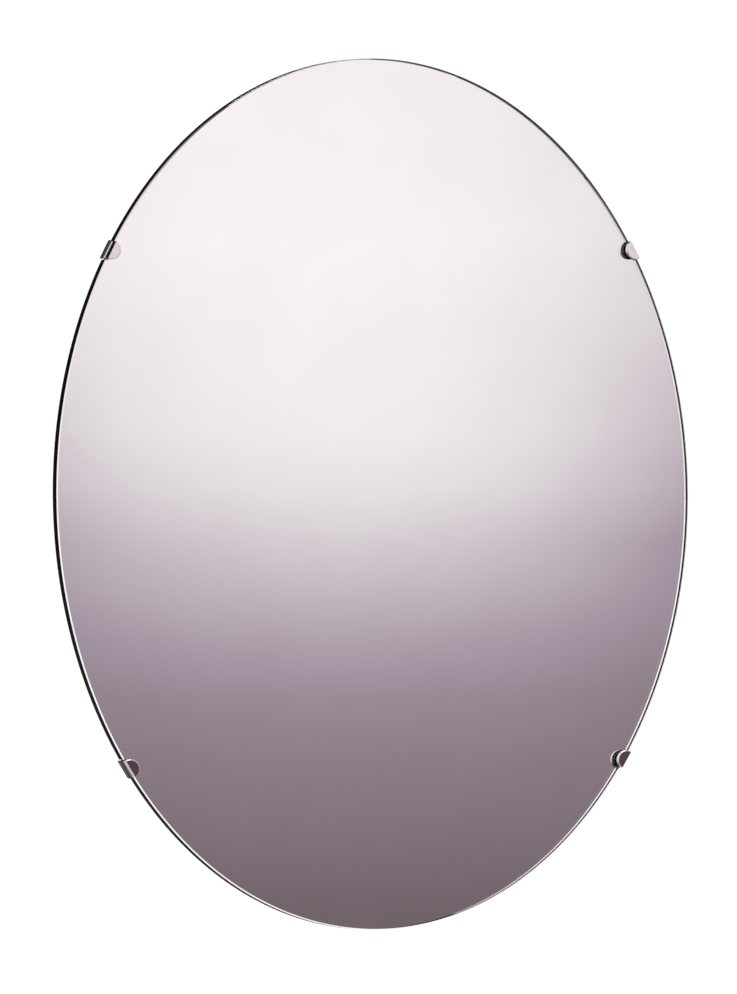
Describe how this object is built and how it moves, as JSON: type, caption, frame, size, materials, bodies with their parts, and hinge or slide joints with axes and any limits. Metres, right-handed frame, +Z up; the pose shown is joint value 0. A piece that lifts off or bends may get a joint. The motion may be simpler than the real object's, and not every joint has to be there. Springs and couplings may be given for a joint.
{
  "type": "frameless oval wall mirror",
  "caption": "Frameless oval mirror with a polished edge, held on a wall by half-moon chrome clips; the upper clips slide out on springs.",
  "frame": {"origin": "centre of the oval, on the wall plane behind it", "axes": "+Z up, -Y out of the wall towards the viewer, +X to the viewer's right"},
  "size_m": [0.61, 0.0429, 0.762],
  "materials": {
    "glass": "clear float glass, 5 mm, polished edge",
    "silvering": "silvered back coat under grey protective film",
    "board": "black foamed board, fine matt skin",
    "chrome": "bright polished chrome plate on die-cast zinc",
    "grey_moulding": "dark grey moulded nylon, fine satin",
    "zinc_plate": "bright zinc-plated pressed steel",
    "screw_steel": "zinc-plated steel",
    "spring_steel": "drawn spring steel wire",
    "rubber": "black soft rubber, matt"
  },
  "bodies": {
    "mirror_and_fixings": {"mirror_glass": "glass", "safety_film": "silvering", "backing_board": "board", "bumper_top": "rubber", "bumper_bottom": "rubber", "bumper_left": "rubber", "bumper_right": "rubber", "upper_left_wall_plate": "zinc_plate", "upper_left_wall_screw": "screw_steel", "upper_left_spring": "spring_steel", "upper_right_wall_plate": "zinc_plate", "upper_right_wall_screw": "screw_steel", "upper_right_spring": "spring_steel", "lower_left_wall_plate": "zinc_plate", "lower_left_wall_screw": "screw_steel", "lower_left_slide_shoe": "grey_moulding", "lower_left_hook": "chrome", "lower_left_hook_screw": "screw_steel", "lower_left_liner": "rubber", "lower_left_lock_screw": "screw_steel", "lower_right_wall_plate": "zinc_plate", "lower_right_wall_screw": "screw_steel", "lower_right_slide_shoe": "grey_moulding", "lower_right_hook": "chrome", "lower_right_hook_screw": "screw_steel", "lower_right_liner": "rubber", "lower_right_lock_screw": "screw_steel"},
    "upper_left_clip": {"upper_left_slide_shoe": "grey_moulding", "upper_left_hook": "chrome", "upper_left_hook_screw": "screw_steel", "upper_left_liner": "rubber"},
    "upper_right_clip": {"upper_right_slide_shoe": "grey_moulding", "upper_right_hook": "chrome", "upper_right_hook_screw": "screw_steel", "upper_right_liner": "rubber"}
  },
  "joints": [
    {"name": "upper_left_slide", "type": "slide", "parent": "mirror_and_fixings", "child": "upper_left_clip", "axis": [-0.8792, 0, 0.4765], "range_m": [0, 0.0085], "stiffness_N_per_m": 500, "springref_m": -0.006, "deforming": ["upper_left_spring"]},
    {"name": "upper_right_slide", "type": "slide", "parent": "mirror_and_fixings", "child": "upper_right_clip", "axis": [0.8792, 0, 0.4765], "range_m": [0, 0.0085], "stiffness_N_per_m": 500, "springref_m": -0.006, "deforming": ["upper_right_spring"]}
  ]
}
